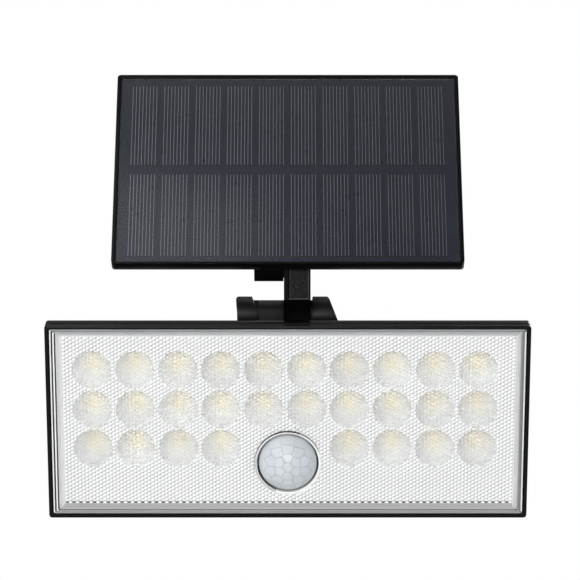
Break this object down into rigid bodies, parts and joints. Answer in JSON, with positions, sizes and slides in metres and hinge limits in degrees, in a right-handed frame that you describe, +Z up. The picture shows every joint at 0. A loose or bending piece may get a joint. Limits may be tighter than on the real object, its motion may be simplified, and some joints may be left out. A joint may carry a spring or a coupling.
{
  "type": "solar flood light",
  "caption": "Wall-hung solar flood light: a wide LED lamp head with a dimpled lens and motion sensor, and a solar panel above it on a tilting arm.",
  "frame": {"origin": "centre of the wall plate's back face, where the light rests on the wall", "axes": "+X to the right of someone facing the light, along the lamp's length; +Y into the wall; +Z up. The light faces -Y."},
  "size_m": [0.22, 0.0924, 0.2063],
  "materials": {
    "black_abs": "satin moulded black, fine spark texture",
    "grained_abs": "leather-grain moulded black",
    "zinc_steel": "bright zinc plated",
    "black_rubber": "matt black rubber",
    "clear_polycarbonate": "clear moulded plastic with a dimple pattern",
    "clear_film": "clear epoxy face",
    "solar_cell": "dark blue-grey silicon with fine silver lines",
    "cell_backing": "dark laminate board",
    "white_reflector": "satin white moulding",
    "led_board_white": "white solder mask on an aluminium core",
    "led_phosphor": "yellow phosphor gel",
    "milky_hdpe": "translucent milky white, faceted",
    "green_board": "green solder mask",
    "battery_wrap": "blue shrink wrap on a metal can",
    "holder_plastic": "black moulding",
    "wire_red": "red insulation",
    "wire_black": "black insulation"
  },
  "bodies": {
    "bracket": {"wall_bracket": "black_abs", "lamp_pivot_bolt": "zinc_steel", "lamp_pivot_washer": "zinc_steel", "lamp_pivot_nut": "zinc_steel"},
    "arm": {"arm": "black_abs", "arm_cover": "grained_abs", "panel_pivot_bolt": "zinc_steel", "panel_pivot_washer": "zinc_steel", "panel_pivot_nut": "zinc_steel"},
    "panel": {"panel_tray": "black_abs", "panel_cover_film": "clear_film", "cell_string_upper": "solar_cell", "cell_string_lower": "solar_cell", "panel_backing_board": "cell_backing", "panel_hinge_block": "black_abs", "junction_box": "black_abs", "panel_gland": "black_rubber", "hinge_screw_1": "zinc_steel", "hinge_screw_2": "zinc_steel"},
    "lamp": {"front_bezel": "black_abs", "front_lens": "clear_polycarbonate", "lens_gasket": "black_rubber", "rear_shell": "black_abs", "case_screw_1": "zinc_steel", "case_screw_2": "zinc_steel", "case_screw_3": "zinc_steel", "case_screw_4": "zinc_steel", "reflector_tray": "white_reflector", "led_board": "led_board_white", "led_row_top": "led_phosphor", "led_row_middle": "led_phosphor", "led_row_bottom_left": "led_phosphor", "led_row_bottom_right": "led_phosphor", "sensor_dome": "milky_hdpe", "sensor_seal": "black_rubber", "sensor_can": "zinc_steel", "battery_cell": "battery_wrap", "battery_holder": "holder_plastic", "battery_contact_positive": "zinc_steel", "battery_contact_negative": "zinc_steel", "battery_wire_positive": "wire_red", "battery_wire_negative": "wire_black", "control_board": "green_board", "tact_switch": "holder_plastic", "lamp_gland": "black_rubber"},
    "button": {"mode_button": "black_rubber"}
  },
  "joints": [
    {"name": "lamp_tilt", "type": "hinge", "parent": "bracket", "child": "lamp", "pos_m": [0, -0.054, 0.0345], "axis": [1, 0, 0], "range_deg": [-18, 22]},
    {"name": "arm_tilt", "type": "hinge", "parent": "bracket", "child": "arm", "pos_m": [0, -0.054, 0.0345], "axis": [1, 0, 0], "range_deg": [-18, 6]},
    {"name": "panel_tilt", "type": "hinge", "parent": "arm", "child": "panel", "pos_m": [0, -0.07, 0.0575], "axis": [1, 0, 0], "range_deg": [-24, 28]},
    {"name": "mode_button_press", "type": "slide", "parent": "lamp", "child": "button", "axis": [0, -0.9568, -0.2907], "range_m": [0, 0.0008], "stiffness_N_per_m": 400, "springref_m": -0.0008}
  ]
}
